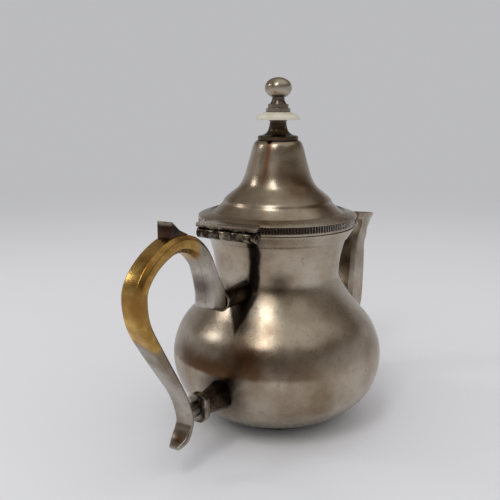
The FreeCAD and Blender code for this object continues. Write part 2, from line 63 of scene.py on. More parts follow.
# Sizes of the body, its base and the neck band
sheet = 1.1 * MM
belly_height = 34.0 * MM
neck_radius = 31.3 * MM
neck_height = 79.0 * MM
rim_radius = 38.6 * MM
flare_top = 100.6 * MM
band_bottom = 93.6 * MM
band_thickness = 0.5 * MM
solder_gap = 0.05 * MM
base_flange = 4.0 * MM
base_chamfer = 0.4 * MM
base_ring_share = 0.75
strainer_hole_radius = 1.6 * MM
strainer_pitch = 5.4 * MM
strainer_step = 60
hole_sides = 40

# Sizes of the lid
lid_sheet = 1.0 * MM
lid_bore_radius = 35.6 * MM
lid_softness = 0.1 * MM
brim_edge = 0.3 * MM
brim_height = 2.4 * MM
brim_inner_radius = 33.7 * MM
brim_step = 0.35 * MM
brim_groove = 0.1 * MM
bell_shoulder = (26.4 * MM, 8.2 * MM)
bell_waist = (16.8 * MM, 19.0 * MM)
crown_radius = 12.5 * MM
crown_drop = 3.3 * MM
crown_flat_radius = 9.2 * MM
stud_hole = 1.55 * MM
steam_hole_radius = 1.15 * MM
steam_hole_turn = math.radians(188)
steam_hole_shares = (0.5, 0.2)
steam_drill_depth = 5 * lid_sheet

# Sizes of the finial
finial_flange_height = 1.5 * MM
finial_flange_round = (0.6 * MM, 0.4 * MM)
finial_stem_radius = 4.0 * MM
finial_seat_radius = 4.7 * MM
finial_seat_height = 1.3 * MM
finial_softness = 0.15 * MM
finial_steps = 96
disc_edge = 1.4 * MM
disc_top_radius = 6.4 * MM
disc_softness = 0.35 * MM
knob_collar = (6.0 * MM, 1.8 * MM)
knob_step = (5.05 * MM, 2.0 * MM)
knob_cove = (4.15 * MM, 3.2 * MM)
knob_neck_radius = 3.0 * MM
ball_steps = 28
stud_depth_in_knob = 8.5 * MM

# Handle bar: its thicknesses and widths, and reach and height of the main points on its path
limb_thickness = 14.4 * MM
arch_thickness = 7.0 * MM
grip_thickness = 7.2 * MM
tail_thickness = 2.8 * MM
curl_thickness = 1.9 * MM
handle_width = 10.4 * MM
tail_width = 8.7 * MM
curl_width = 5.2 * MM
handle_foot = (59.4 * MM, 72.0 * MM)
handle_top = (88.5 * MM, 104.4 * MM)
handle_outer = (110.5 * MM, 84.5 * MM)
handle_band = (79.7 * MM, 26.0 * MM)
handle_tip = (87.8 * MM, 14.6 * MM)
handle_edge = 0.25
handle_softness = 1.3 * MM
foot_slope = math.radians(20)
foot_round = 2.0 * MM
stub_radius = 3.3 * MM
stub_end = 71.3 * MM
stub_sides = 48
lower_joint_height = 27.0 * MM
upper_joint_height = 72.0 * MM
upper_ring_radius = 4.8 * MM

# Spout: the places and sizes of the sections that its horn passes through
spout_sheet = 1.0 * MM
spout_edge = 0.14
spout_softness = 0.35 * MM
spout_root = (42.3 * MM, 26.0 * MM)
spout_bend = (84.3 * MM, 46.0 * MM)
spout_throat = (90.2 * MM, 77.5 * MM)
spout_collar = (99.3 * MM, 88.2 * MM)
spout_mouth = (105.0 * MM, 92.0 * MM)
root_size = (27.0 * MM, 22.0 * MM)
bend_size = (17.2 * MM, 13.2 * MM)
throat_size = (13.2 * MM, 10.8 * MM)
throat_narrowing = 0.9
collar_size = (16.4 * MM, 10.0 * MM, 7.2 * MM)
mouth_size = (26.0 * MM, 11.0 * MM, 3.6 * MM)
mouth_slope = math.radians(8)
lip_share = 0.45
lip_margin = 0.4 * MM

# Fineness of the meshes
round_steps = 144
path_steps = 7
edge_softness = 0.18 * MM
weld_gap = 0.002 * MM
node_weld_gap = 0.001 * MM
flat_angle = math.radians(0.5)

# Camera, from the photograph
camera_place = (-0.3291, -0.1900, 0.16665)
camera_pitch = math.radians(90 - 11.90)
camera_turn = math.radians(-57.92)
camera_lens = 54.99
camera_sensor = 36.0
camera_near = 0.01


def blend(first, second, share):
    """Value at a share of the way from one to another."""
    return first + share * (second - first)


def between(first, second, share_across, share_up):
    """Point at given shares of the way from one point to another."""
    return blend(first[0], second[0], share_across), blend(first[1], second[1], share_up)


def smooth(points, steps=8):
    """Evenly divided curve through points of any dimension."""
    padded = [points[0], *points, points[-1]]
    curve = []
    for a, b, c, d in zip(padded, padded[1:], padded[2:], padded[3:]):
        for i in range(steps):
            t = i / steps
            curve.append(tuple(
                0.5 * (2 * q + (r - p) * t
                       + (2 * p - 5 * q + 4 * r - s) * t * t
                       + (3 * q - p - 3 * r + s) * t ** 3)
                for p, q, r, s in zip(a, b, c, d)))
    return curve + [points[-1]]


def offset(outline, distance):
    """Outline moved sideways: a positive distance is outwards on an outline that rises."""
    moved = []
    for i, (radius, height) in enumerate(outline):
        before, after = outline[max(i - 1, 0)], outline[min(i + 1, len(outline) - 1)]
        across, up = after[0] - before[0], after[1] - before[1]
        length = math.hypot(across, up)
        moved.append((radius + distance * up / length, height - distance * across / length))
    return moved


def deselect():
    if bpy.context.object and bpy.context.object.mode != "OBJECT":
        bpy.ops.object.mode_set(mode="OBJECT")
    bpy.ops.object.select_all(action="DESELECT")


def pick(piece):
    """Leaves one piece selected, and makes it the active one."""
    deselect()
    bpy.context.view_layer.objects.active = piece
    piece.select_set(True)


def edit_all():
    """Opens the active piece in edit mode, with all of it selected."""
    bpy.ops.object.mode_set(mode="EDIT")
    bpy.ops.mesh.select_all(action="SELECT")


def apply_modifier(piece, kind, **settings):
    modifier = piece.modifiers.new(kind.title(), kind)
    for key, value in settings.items():
        setattr(modifier, key, value)
    pick(piece)
    bpy.ops.object.modifier_apply(modifier=modifier.name)


def soften(piece, width=edge_softness, angle=32, segments=3):
    """Rounds the sharp edges a little, so that they catch the light, and closes the mesh again."""
    apply_modifier(piece, "BEVEL", width=width, segments=segments, limit_method="ANGLE",
                   angle_limit=math.radians(angle), harden_normals=False)
    edit_all()
    bpy.ops.mesh.remove_doubles(threshold=weld_gap)
    bpy.ops.object.mode_set(mode="OBJECT")


def shade(piece, angle=38):
    """Smooth shading, except across edges that turn by more than an angle."""
    pick(piece)
    bpy.ops.object.shade_smooth_by_angle(angle=math.radians(angle))


def lathe(name, outline, steps=round_steps):
    """Spins an outline of radius and height about the pot's axis."""
    deselect()
    first = outline[0]
    bpy.ops.mesh.primitive_plane_add(size=MM, location=(0, 0, 0))
    piece = bpy.context.object
    piece.name = name
    edit_all()
    bpy.ops.mesh.merge(type="CENTER")
    bpy.ops.transform.translate(value=(first[0], 0, first[1]))
    for here, there in zip(outline, outline[1:]):
        step = (there[0] - here[0], 0, there[1] - here[1])
        bpy.ops.mesh.extrude_vertices_move(TRANSFORM_OT_translate={"value": step})
    bpy.ops.mesh.select_all(action="SELECT")
    bpy.ops.mesh.spin(steps=steps, angle=2 * math.pi, center=(0, 0, 0), axis=(0, 0, 1))
    bpy.ops.mesh.select_all(action="SELECT")
    bpy.ops.mesh.remove_doubles(threshold=weld_gap)
    bpy.ops.mesh.normals_make_consistent(inside=False)
    bpy.ops.object.mode_set(mode="OBJECT")
    return piece


def cut_hole(piece, radius, depth, centre, direction):
    """Drills a round hole with a cylinder that is then removed."""
    deselect()
    turn = Vector(direction).to_track_quat("Z", "Y").to_euler()
    bpy.ops.mesh.primitive_cylinder_add(
        vertices=hole_sides, radius=radius, depth=depth, location=centre, rotation=turn)
    drill = bpy.context.object
    bpy.ops.object.transform_apply(location=True, rotation=True, scale=True)
    apply_modifier(piece, "BOOLEAN", operation="DIFFERENCE", object=drill, solver="EXACT")
    bpy.data.objects.remove(drill)


def body_outline():
    """Outside of the pot from its base to the top of the flare, by shares of each stretch."""
    low, rise = belly_radius - base_radius, belly_height - base_top
    fall, drop = belly_radius - neck_radius, neck_height - belly_height
    flare, lift = rim_radius - neck_radius, flare_top - neck_height
    return smooth([
        (base_radius, base_top),
        (base_radius + 0.46 * low, base_top + 0.18 * rise),
        (base_radius + 0.855 * low, base_top + 0.51 * rise),
        (belly_radius, belly_height),
        (neck_radius + 0.82 * fall, belly_height + 0.335 * drop),
        (neck_radius + 0.38 * fall, belly_height + 0.60 * drop),
        (neck_radius + 0.045 * fall, belly_height + 0.845 * drop),
        (neck_radius, neck_height),
        (neck_radius + 0.34 * flare, neck_height + 0.60 * lift),
        (rim_radius, flare_top),
    ])


def make_pot_body():
    """Open shell with a flange at its foot, and strainer holes behind the spout."""
    outside = body_outline()
    inside = offset(outside, -sheet)
    flange_inside = base_radius - base_flange
    outline = outside + [(rim_radius, rim_top), (rim_radius - sheet, rim_top)] + inside[::-1]
    outline += [(flange_inside, inside[0][1]), (flange_inside, base_top), outside[0]]
    pot = lathe("pot_shell", outline)
    soften(pot)
    holes = [(0, 0)]
    for degrees in range(0, 360, strainer_step):
        turn = math.radians(degrees)
        holes.append((strainer_pitch * math.cos(turn), strainer_pitch * math.sin(turn)))
    for across, up in holes:
        centre = (belly_radius, across, spout_root[1] + up)
        cut_hole(pot, strainer_hole_radius, belly_radius, centre, (1, 0, 0))
    shade(pot)
    return pot


def make_neck_band():
    outside = [point for point in body_outline() if point[1] > band_bottom]
    inner = offset(outside, solder_gap)
    outer = offset(outside, solder_gap + band_thickness)
    band = lathe("neck_band_sheet", outer + inner[::-1] + outer[:1])
    soften(band, band_thickness / 4)
    shade(band)
    return band


def make_base():
    base = lathe("base_disc", [
        (0, 0),
        (base_ring_share * base_radius, 0),
        (base_radius - base_chamfer, 0),
        (base_radius, base_chamfer),
        (base_radius, base_top),
        (0, base_top),
    ])
    shade(base)
    return base


def bell_outline():
    """Outside of the lid from the groove inside its brim to the crown."""
    groove = (brim_inner_radius - brim_groove, lid_seat + brim_height - brim_step)
    shoulder = (bell_shoulder[0], lid_seat + bell_shoulder[1])
    waist = (bell_waist[0], lid_seat + bell_waist[1])
    crown = (crown_radius, lid_top - crown_drop)
    flat = (crown_flat_radius, lid_top)
    return smooth([
        groove,
        between(groove, shoulder, 0.27, 0.04),
        between(groove, shoulder, 0.80, 0.62),
        shoulder,
        between(shoulder, waist, 0.24, 0.20),
        between(shoulder, waist, 0.72, 0.57),
        waist,
        between(waist, crown, 0.55, 0.52),
        crown,
        between(crown, flat, 0.45, 0.76),
        flat,
    ])


def make_lid():
    """Bell with a brim, a hole for the stud in its crown and a steam hole beside it."""
    bell = bell_outline()
    inside = offset(bell, -lid_sheet)
    edge_top = (lid_radius, lid_seat + brim_edge)
    brim_end = (brim_inner_radius, lid_seat + brim_height)
    brim = smooth([edge_top, between(edge_top, brim_end, 0.36, 0.47), brim_end])
    outline = [(lid_radius, lid_seat)] + brim + bell
    outline += [(stud_hole, lid_top), (stud_hole, lid_top - lid_sheet)] + inside[::-1]
    outline += [(lid_bore_radius, lid_seat), (lid_radius, lid_seat)]
    lid = lathe("lid_bell", outline)
    soften(lid, lid_softness)
    crown = (crown_radius, lid_top - crown_drop)
    radius, height = between(bell[-1], crown, *steam_hole_shares)
    outwards = (math.cos(steam_hole_turn), math.sin(steam_hole_turn), 1)
    centre = (radius * outwards[0], radius * outwards[1], height)
    cut_hole(lid, steam_hole_radius, steam_drill_depth, centre, outwards)
    shade(lid)
    return lid


def make_finial_base():
    """Flange and hollowed stem below the disc."""
    flange_top = lid_top + finial_flange_height
    cove_start = (flange_radius - finial_flange_round[0], flange_top + finial_flange_round[1])
    cove_end = (finial_stem_radius, disc_bottom - finial_seat_height)
    cove = smooth([
        cove_start,
        between(cove_start, cove_end, 0.50, 0.12),
        between(cove_start, cove_end, 0.83, 0.42),
        cove_end,
    ])
    outline = [(stud_hole, lid_top), (flange_radius, lid_top), (flange_radius, flange_top)] + cove
    outline += [(finial_seat_radius, disc_bottom), (stud_hole, disc_bottom), (stud_hole, lid_top)]
    base = lathe("finial_stem", outline, finial_steps)
    soften(base, finial_softness)
    shade(base)
    return base


def make_finial_disc():
    edge_top = (disc_radius, disc_bottom + disc_edge)
    top = (disc_top_radius, knob_bottom)
    slope = smooth([edge_top, between(edge_top, top, 0.47, 0.57), top])
    outline = [(stud_hole, disc_bottom), (disc_radius, disc_bottom)] + slope
    outline += [(stud_hole, knob_bottom), (stud_hole, disc_bottom)]
    disc = lathe("finial_pale_disc", outline, finial_steps)
    soften(disc, disc_softness)
    shade(disc)
    return disc


def make_finial_knob():
    """Stepped collar and ball, bored from below for the stud."""
    collar_top = knob_bottom + knob_collar[1]
    step_top = collar_top + knob_step[1]
    cove_top = step_top + knob_cove[1]
    half_open = math.acos(knob_neck_radius / ball_radius)
    half_height = (knob_top - cove_top) / (1 + math.sin(half_open))
    centre = knob_top - half_height
    ball = []
    for i in range(ball_steps + 1):
        turn = -half_open + (math.pi / 2 + half_open) * i / ball_steps
        ball.append((max(ball_radius * math.cos(turn), 0), centre + half_height * math.sin(turn)))
    cove_start, cove_end = (knob_cove[0], step_top), (knob_neck_radius, cove_top)
    cove = smooth([cove_start, between(cove_start, cove_end, 0.75, 0.5), cove_end])
    bore_top = knob_bottom + stud_depth_in_knob
    outline = [
        (0, bore_top),
        (stud_hole, bore_top),
        (stud_hole, knob_bottom),
        (knob_collar[0], knob_bottom),
        (knob_collar[0], collar_top),
        (knob_step[0], collar_top),
        (knob_step[0], step_top),
    ]
    knob = lathe("finial_ball", outline + cove + ball[1:], finial_steps)
    soften(knob, finial_softness)
    shade(knob)
    return knob


def bevelled(half, side, edge):
    """Outline of a rectangle with its corners cut off by a share of its lesser side."""
    bevel = 2 * edge * min(half, side)
    return [
        (half, side - bevel), (half - bevel, side), (bevel - half, side), (-half, side - bevel),
        (-half, bevel - side), (bevel - half, -side), (half - bevel, -side), (half, bevel - side)]


def path_rings(stations, edge, towards):
    """Bevelled sections square to a path of reach, height, thickness and width.

    The reach runs to the spout's side where towards is 1, and to the handle's side where it is -1.
    """
    rings = []
    for i, (reach, height, thickness, width) in enumerate(stations):
        before, after = stations[max(i - 1, 0)], stations[min(i + 1, len(stations) - 1)]
        across, up = after[0] - before[0], after[1] - before[1]
        length = math.hypot(across, up)
        normal = (up / length, -across / length)
        outline = bevelled(thickness / 2, width / 2, edge)
        rings.append([
            Vector((towards * (reach + n * normal[0]), y, height + n * normal[1])) for n, y in outline])
    return rings


def tube(name, rings, capped):
    """Bridges a row of section loops, each begun as a circle, and closes its ends if capped."""
    loops = []
    for ring in rings:
        deselect()
        bpy.ops.mesh.primitive_circle_add(vertices=len(ring), radius=MM, location=(0, 0, 0))
        loops.append(bpy.context.object)
        for vertex, corner in zip(loops[-1].data.vertices, ring):
            vertex.co = corner
    for loop in loops:
        loop.select_set(True)
    bpy.context.view_layer.objects.active = loops[0]
    bpy.ops.object.join()
    piece = bpy.context.object
    piece.name = name
    edit_all()
    bpy.ops.mesh.bridge_edge_loops()
    bpy.ops.mesh.select_all(action="SELECT")
    if capped:
        bpy.ops.mesh.fill_holes(sides=0)
        bpy.ops.mesh.select_all(action="SELECT")
    bpy.ops.mesh.normals_make_consistent(inside=False)
    bpy.ops.object.mode_set(mode="OBJECT")
    return piece


def select_where(piece, test):
    """Selects the faces of a piece in edit mode whose centre passes a test."""
    shape = bmesh.from_edit_mesh(piece.data)
    for face in shape.faces:
        face.select_set(test(face.calc_center_median()))
    bmesh.update_edit_mesh(piece.data)


def cut_foot(bar):
    """Cuts the foot of the handle's upper limb to its slope, and rounds the edge of the cut."""
    seat = handle_foot[0] - limb_thickness / 2
    corner = (-seat, 0, upper_joint_height - upper_ring_radius)
    slope = (math.sin(foot_slope), 0, math.cos(foot_slope))
    pick(bar)
    bpy.ops.object.mode_set(mode="EDIT")
    select_where(bar, lambda place: place.x > -handle_foot[0] - limb_thickness)
    bpy.ops.mesh.bisect(plane_co=corner, plane_no=slope, clear_inner=True, use_fill=True)
    bpy.ops.mesh.bevel(offset=foot_round, segments=6, affect="EDGES")
    bpy.ops.object.mode_set(mode="OBJECT")


def make_handle():
    """Loop of bevelled bar from the foot over the arch to the curl, with a stub for the lower socket."""
    foot, top, outer, low, tip = handle_foot, handle_top, handle_outer, handle_band, handle_tip
    arm, arch, grip, tail = limb_thickness, arch_thickness, grip_thickness, tail_thickness
    stations = [
        (*between(foot, top, 0.0, -0.22), arm, handle_width),
        (*between(foot, top, 0.0, 0.13), arm, handle_width),
        (*between(foot, top, 0.10, 0.37), blend(arm, arch, 0.45), handle_width),
        (*between(foot, top, 0.27, 0.71), blend(arm, arch, 0.75), handle_width),
        (*between(foot, top, 0.588, 0.944), blend(arm, arch, 0.88), handle_width),
        (*top, arch, handle_width),
        (*between(top, outer, 0.568, 0.25), arch, handle_width),
        (*between(top, outer, 0.927, 0.62), grip, handle_width),
        (*outer, grip, handle_width),
        (*between(outer, low, 0.09, 0.186), blend(grip, tail, 0.28), handle_width),
        (*between(outer, low, 0.435, 0.47), blend(grip, tail, 0.75), handle_width),
        (*between(outer, low, 0.84, 0.785), tail, tail_width),
        (*low, tail, tail_width),
        (*between(low, tip, 0.12, 0.42), tail, tail_width),
        (*between(low, tip, 0.45, 0.76), blend(tail, curl_thickness, 0.2), tail_width),
        (*tip, curl_thickness, curl_width),
    ]
    rings = path_rings(smooth(stations, path_steps), handle_edge, -1)
    bar = tube("handle_bar", rings[:1] + rings[path_steps:], True)
    cut_foot(bar)
    soften(bar, handle_softness, angle=24, segments=5)
    deselect()
    bpy.ops.mesh.primitive_cylinder_add(
        vertices=stub_sides, radius=stub_radius, depth=handle_band[0] - stub_end,
        location=(-(handle_band[0] + stub_end) / 2, 0, lower_joint_height), rotation=(0, math.pi / 2, 0))
    stub = bpy.context.object
    bpy.ops.object.transform_apply(location=True, rotation=True, scale=True)
    apply_modifier(bar, "BOOLEAN", operation="UNION", object=stub, solver="EXACT")
    bpy.data.objects.remove(stub)
    shade(bar, angle=26)
    return bar


def level_ring(place, size):
    """Section across the spout's top, drawn to a lip at the front and sloping down to it."""
    length, width, tip_width = size
    back, front = -length / 2, length / 2 - lip_margin
    side, tip = width / 2, tip_width / 2
    shoulder = front - lip_share * length
    bevel = 2 * spout_edge * side
    outline = [
        (front, tip), (shoulder, side), (back + bevel, side), (back, side - bevel),
        (back, bevel - side), (back + bevel, -side), (shoulder, -side), (front, -tip)]
    slope = math.tan(mouth_slope)
    return [Vector((place[0] + x, y, place[1] - slope * x)) for x, y in outline]


def spout_rings():
    """Sections of the horn: square to its path up to the throat, then level up to the mouth."""
    root, bend, throat, collar = spout_root, spout_bend, spout_throat, spout_collar
    neck_size = (throat_narrowing * throat_size[0], throat_size[1])
    places = [
        (root, root_size),
        (between(root, bend, 0.20, 0.01), between(root_size, bend_size, 0.14, 0.18)),
        (between(root, bend, 0.41, 0.07), between(root_size, bend_size, 0.31, 0.36)),
        (between(root, bend, 0.62, 0.22), between(root_size, bend_size, 0.52, 0.55)),
        (between(root, bend, 0.81, 0.47), between(root_size, bend_size, 0.74, 0.74)),
        (between(root, bend, 0.94, 0.75), between(root_size, bend_size, 0.90, 0.90)),
        (bend, bend_size),
        (between(bend, throat, 0.45, 0.41), between(bend_size, throat_size, 0.26, 0.50)),
        (between(bend, throat, 0.66, 0.70), between(bend_size, throat_size, 0.50, 0.75)),
        (throat, throat_size),
        (between(throat, collar, 0.42, 0.48), neck_size),
    ]
    stations = [(*place, *size) for place, size in places]
    knots = path_rings(stations, spout_edge, 1)
    for share in (0, 0.5, 1):
        place = between(spout_collar, spout_mouth, share, share)
        size = [blend(low, high, share) for low, high in zip(collar_size, mouth_size)]
        knots.append(level_ring(place, size))
    flat_knots = [[value for corner in ring for value in corner] for ring in knots]
    rings = []
    for flat in smooth(flat_knots, path_steps):
        rings.append([Vector(flat[i:i + 3]) for i in range(0, len(flat), 3)])
    return rings


def make_spout():
    """Hollow horn, its root trimmed to the belly."""
    horn = tube("spout_horn", spout_rings(), False)
    apply_modifier(horn, "SOLIDIFY", thickness=spout_sheet, offset=-1)
    core = lathe("body_cutter", [(0, base_top)] + body_outline() + [(0, flare_top)])
    apply_modifier(horn, "BOOLEAN", operation="DIFFERENCE", object=core, solver="EXACT")
    bpy.data.objects.remove(core)
    soften(horn, spout_softness, angle=20)
    shade(horn, angle=24)
    return horn


def dressed_copy(node, width=edge_softness):
    """Smooth copy of a CAD node, with its flats joined and, where a width is given, its edges softened."""
    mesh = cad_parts[node].data.copy()
    piece = bpy.data.objects.new(node + "_dressed", mesh)
    bpy.context.scene.collection.objects.link(piece)
    pick(piece)
    edit_all()
    bpy.ops.mesh.remove_doubles(threshold=node_weld_gap)
    bpy.ops.mesh.dissolve_limited(angle_limit=flat_angle)
    bpy.ops.object.mode_set(mode="OBJECT")
    if width:
        soften(piece, width, angle=40, segments=2)
    shade(piece)
    return piece


# Colours of the finishes
silver = (0.48, 0.42, 0.34, 1)
dull_silver = (0.42, 0.36, 0.29, 1)
knuckle_glint = (0.30, 0.25, 0.19, 1)
warm_tarnish = (0.24, 0.175, 0.11, 1)
dull_tarnish = (0.18, 0.13, 0.085, 1)
brown_tarnish_and_reflection = (0.10, 0.053, 0.026, 1)
foot_copper_and_shade = (0.075, 0.032, 0.02, 1)
steam_copper = (0.37, 0.18, 0.095, 1)
crest_wear_and_highlight = (0.42, 0.34, 0.27, 1)
# Black for smut and for painted shade and reflection.
black_smut_and_shade = (0.035, 0.026, 0.02, 1)
handle_smut_and_shade = (0.04, 0.028, 0.02, 1)
brass_dark = (0.31, 0.165, 0.04, 1)
brass_bright = (0.64, 0.42, 0.13, 1)
bone_cream = (0.58, 0.52, 0.38, 1)
bone_white = (0.72, 0.69, 0.60, 1)
bone_grime_and_shade = (0.45, 0.36, 0.24, 1)

# Stains, and patches of painted shade and reflection: centre, reach and tone
body_stains_and_shade = (
    # Black round the upper socket: painted shade and reflection of the handle.
    ((-37 * MM, 0, upper_joint_height), 8 * MM, black_smut_and_shade),
    # Brown tarnish low on the handle's side of the belly.
    ((-48 * MM, -12 * MM, 43 * MM), 11 * MM, brown_tarnish_and_reflection),
    # Black round the lower socket: painted reflection of the handle.
    ((-52 * MM, -3 * MM, 36 * MM), 9 * MM, black_smut_and_shade),
    ((-53 * MM, 0, lower_joint_height), 12 * MM, black_smut_and_shade),
    # Dark patch below the hinge's end: painted shade.
    ((-27 * MM, -17 * MM, 76 * MM), 6 * MM, (0.12, 0.09, 0.065, 1)),
    # The back of the spout, which faces the pot: painted shade.
    ((81 * MM, 0, 80 * MM), 9 * MM, (0.07, 0.048, 0.03, 1)),
    ((79 * MM, 0, 67 * MM), 9 * MM, (0.09, 0.063, 0.04, 1)),
)
lid_stains = (
    ((-8 * MM, -16 * MM, 119 * MM), 12 * MM, (0.17, 0.115, 0.07, 1)),
    ((-5 * MM, -25 * MM, 109 * MM), 8 * MM, (0.20, 0.145, 0.095, 1)),
)
knob_darkening = (
    # Darker on the neck under the ball and round the foot of the collar.
    ((0, 0, knob_bottom + 5.6 * MM), 5.4 * MM, black_smut_and_shade),
    ((0, 0, knob_bottom), 6.5 * MM, (0.11, 0.08, 0.058, 1)),
)
handle_stains_and_shade = (
    # Black round the lower socket's stub: tarnish and painted shade.
    ((-stub_end, 0, lower_joint_height), 7 * MM, black_smut_and_shade),
    # Dark at the bend of the tail: painted shade.
    ((-84 * MM, 0, 17 * MM), 4 * MM, (0.10, 0.055, 0.03, 1)),
    # The inner face of the arch: painted shade.
    ((-68 * MM, -1 * MM, 82 * MM), 6 * MM, (0.15, 0.125, 0.105, 1)),
)
grip_stains = (
    ((-115 * MM, -4 * MM, 84 * MM), 7 * MM, (0.27, 0.135, 0.035, 1)),
)
blotch_grain = 110.0
blotch_raggedness = 0.9
blotch_core = 0.75
blotch_end = 1.75

# Grain of the old metal
speckle_grain = 420.0
speckle_span = (0.58, 0.86)
wear_grain = 90.0
wear_span = (0.3, 0.7)
scratch_grain = 260.0
scratch_roughness = 0.7
scratch_strength = 0.10
scratch_depth = 0.10 * MM
spin_stretch = (1, 1, 9)
metal_crevice = 5 * MM

# Where the plating of the handle is worn through
plating_edge = 81.0 * MM
plating_fade = 3 * MM
plating_raggedness = 34.0 * MM
plating_reach = (-76 * MM, -72 * MM)

# Where the metal is coppery and dark at the foot, tarnish with painted contact shade, and where a painted
# brown reflection runs round the handle's side of the belly
foot_span = (1.2 * MM, 5.5 * MM)
reflection_band_low = (2.5 * MM, 5.0 * MM)
reflection_band_high = (8 * MM, 19 * MM)
reflection_band_reach = (-48 * MM, -24 * MM)
reflection_band_raggedness = 3 * MM
reflection_band_least = (0.45, 0.45, 0.45, 1)

# Where the black streak below the hinge and the drop below the upper socket lie: painted reflection and
# shade on the body
hinge_reflection_raggedness = 2.4 * MM
streak_lean = 0.1
streak_place = 2.6 * MM
streak_edge = (3.0 * MM, 4.6 * MM)
streak_fade = 3 * MM
drop_tip = 54.0 * MM
drop_top = 70.0 * MM
drop_taper = 0.555
drop_lean = -0.26
drop_place = -17.75 * MM
drop_edge = (0.4 * MM, 2.6 * MM)
drop_fade = 5 * MM

# Where the hinge strip, the lid below the steam hole, the flutes and the thumb rest change tone
knuckle_span = (0.2 * MM, 0.9 * MM)
steam_place = 2.0 * MM
steam_edge = (0.1 * MM, 2.0 * MM)
steam_span = (14 * MM, 24 * MM)
flute_depths = (0.56 * MM, 0.26 * MM)
crest_depths = (2.4 * MM, 0.3 * MM)

# The disc
bone_crevice = 3 * MM
bone_gloss = 0.32
bone_glow = 0.25
bone_glow_reach = (0.004, 0.003, 0.002)
bone_grain_strength = 0.08
bone_grain_depth = 0.1 * MM


def tree(material):
    return material.node_tree.nodes, material.node_tree.links


def new_material(name):
    material = bpy.data.materials.new(name)
    material.use_nodes = True
    nodes, links = tree(material)
    return material, nodes, links, nodes["Principled BSDF"]


def noise(nodes, links, scale, detail=5.0, stretch=(1, 1, 1), roughness=0.55):
    """Noise on Object coordinates, which are metres."""
    place = nodes.new("ShaderNodeTexCoord")
    mapping = nodes.new("ShaderNodeMapping")
    mapping.inputs["Scale"].default_value = stretch
    texture = nodes.new("ShaderNodeTexNoise")
    texture.inputs["Scale"].default_value = scale
    texture.inputs["Detail"].default_value = detail
    texture.inputs["Roughness"].default_value = roughness
    links.new(place.outputs["Object"], mapping.inputs["Vector"])
    links.new(mapping.outputs["Vector"], texture.inputs["Vector"])
    return texture.outputs["Fac"]


def ramp(nodes, links, source, low, high, dark=(0, 0, 0, 1), light=(1, 1, 1, 1)):
    """Colour that passes from one tone to another between two values."""
    band = nodes.new("ShaderNodeValToRGB")
    band.color_ramp.elements[0].position = low
    band.color_ramp.elements[0].color = dark
    band.color_ramp.elements[1].position = high
    band.color_ramp.elements[1].color = light
    links.new(source, band.inputs["Fac"])
    return band.outputs["Color"]


def mixed(nodes, links, share, first, second):
    """Mix of two colours, each a socket or a constant."""
    mix = nodes.new("ShaderNodeMix")
    mix.data_type = "RGBA"
    links.new(share, mix.inputs["Factor"])
    for colour, socket in ((first, mix.inputs["A"]), (second, mix.inputs["B"])):
        if isinstance(colour, tuple):
            socket.default_value = colour
        else:
            links.new(colour, socket)
    return mix.outputs["Result"]


def crevice(nodes, links, distance, low, high):
    """1 in open places and 0 in the corners and under overhangs, where the dark tone laid on stands for
    dirt and painted shade.
    """
    shelter = nodes.new("ShaderNodeAmbientOcclusion")
    shelter.samples = 8
    shelter.inputs["Distance"].default_value = distance
    return ramp(nodes, links, shelter.outputs["AO"], low, high)


def within(nodes, links, source, low, high):
    """0 below a low value of a length, 1 above a high one."""
    span = nodes.new("ShaderNodeMapRange")
    span.interpolation_type = "SMOOTHSTEP"
    span.inputs["From Min"].default_value = low
    span.inputs["From Max"].default_value = high
    links.new(source, span.inputs["Value"])
    return span.outputs["Result"]


def reckon(nodes, links, operation, *values):
    """Result of a sum on sockets and constants."""
    step = nodes.new("ShaderNodeMath")
    step.operation = operation
    for value, socket in zip(values, step.inputs):
        if isinstance(value, float):
            socket.default_value = value
        else:
            links.new(value, socket)
    return step.outputs["Value"]


def product(nodes, links, *factors):
    """Product of sockets."""
    total = factors[0]
    for factor in factors[1:]:
        total = reckon(nodes, links, "MULTIPLY", total, factor)
    return total


def inverse(nodes, links, share):
    return reckon(nodes, links, "SUBTRACT", 1.0, share)


def off_line(nodes, links, value, line):
    """Distance of a value from a line, on either side."""
    return reckon(nodes, links, "ABSOLUTE", reckon(nodes, links, "SUBTRACT", value, line))


def axes(nodes, links):
    """Object coordinates, one by one."""
    place = nodes.new("ShaderNodeTexCoord")
    split = nodes.new("ShaderNodeSeparateXYZ")
    links.new(place.outputs["Object"], split.inputs["Vector"])
    return split.outputs["X"], split.outputs["Y"], split.outputs["Z"]


def stained_and_shaded(nodes, links, colour, stains_and_shade):
    """Lays a tone over a colour round each centre, out to a ragged edge: stains, and patches of painted
    shade and reflection.
    """
    place = nodes.new("ShaderNodeTexCoord")
    ragged = noise(nodes, links, blotch_grain)
    for centre, reach, tone in stains_and_shade:
        far = nodes.new("ShaderNodeVectorMath")
        far.operation = "DISTANCE"
        links.new(place.outputs["Object"], far.inputs[0])
        far.inputs[1].default_value = centre
        rough = reckon(nodes, links, "MULTIPLY_ADD", ragged, blotch_raggedness * reach, far.outputs["Value"])
        edge = nodes.new("ShaderNodeMapRange")
        edge.inputs["From Min"].default_value = blotch_core * reach
        edge.inputs["From Max"].default_value = blotch_end * reach
        links.new(rough, edge.inputs["Value"])
        colour = mixed(nodes, links, edge.outputs["Result"], tone, colour)
    return colour


def recolour(material, share, tone):
    """Mixes a tone over a material's own colour."""
    nodes, links = tree(material)
    socket = nodes["Principled BSDF"].inputs["Base Color"]
    links.new(mixed(nodes, links, share, socket.links[0].from_socket, tone), socket)


def roughen(nodes, links, shader, height, strength, depth):
    """Fine unevenness of a surface, on top of its shape."""
    bump = nodes.new("ShaderNodeBump")
    bump.inputs["Strength"].default_value = strength
    bump.inputs["Distance"].default_value = depth
    links.new(height, bump.inputs["Height"])
    links.new(bump.outputs["Normal"], shader.inputs["Normal"])


